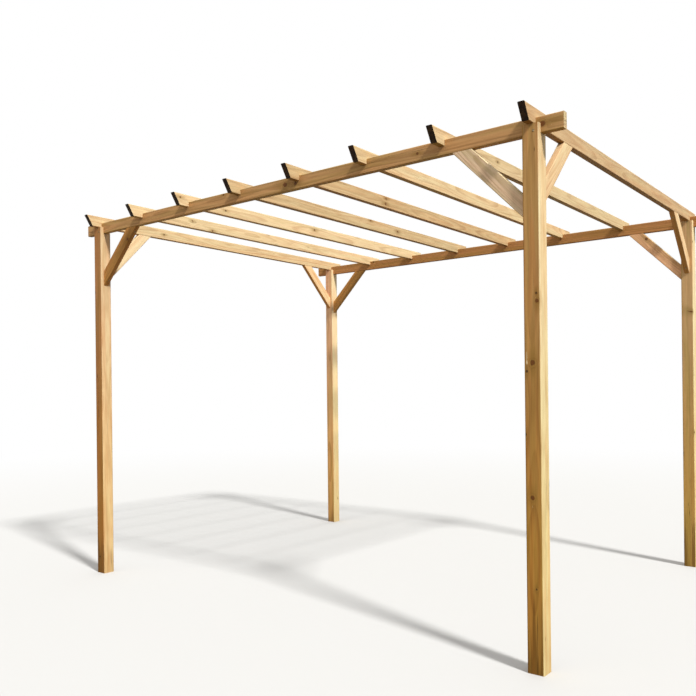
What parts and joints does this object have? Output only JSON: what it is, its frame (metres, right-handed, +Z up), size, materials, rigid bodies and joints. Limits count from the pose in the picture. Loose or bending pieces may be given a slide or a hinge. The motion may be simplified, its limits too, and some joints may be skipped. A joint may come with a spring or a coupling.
{
  "type": "wooden garden pergola",
  "caption": "Open timber garden pergola: square posts with slotted heads, notched beams, undercut rafters housed across them, and diagonal knee braces.",
  "frame": {"origin": "on the ground, in the middle of the plan", "axes": "+X along the beams to the right, +Y along the rafters to the back, +Z up"},
  "size_m": [3.35, 2.651, 2.36],
  "materials": {
    "post_timber": "planed pressure-treated softwood with rounded edges",
    "beam_timber": "planed pressure-treated softwood, sawn ends",
    "rafter_timber": "planed pressure-treated softwood, sawn ends",
    "brace_timber": "planed pressure-treated softwood, mitred ends"
  },
  "bodies": {
    "root": {"post_front_left": "post_timber", "post_front_right": "post_timber", "post_back_left": "post_timber", "post_back_right": "post_timber", "beam_front": "beam_timber", "beam_back": "beam_timber", "rafter_1": "rafter_timber", "rafter_2": "rafter_timber", "rafter_3": "rafter_timber", "rafter_4": "rafter_timber", "rafter_5": "rafter_timber", "rafter_6": "rafter_timber", "rafter_7": "rafter_timber", "rafter_8": "rafter_timber", "beam_brace_front_left": "brace_timber", "rafter_brace_front_left": "brace_timber", "beam_brace_front_right": "brace_timber", "rafter_brace_front_right": "brace_timber", "beam_brace_back_left": "brace_timber", "rafter_brace_back_left": "brace_timber", "beam_brace_back_right": "brace_timber", "rafter_brace_back_right": "brace_timber"}
  },
  "joints": []
}
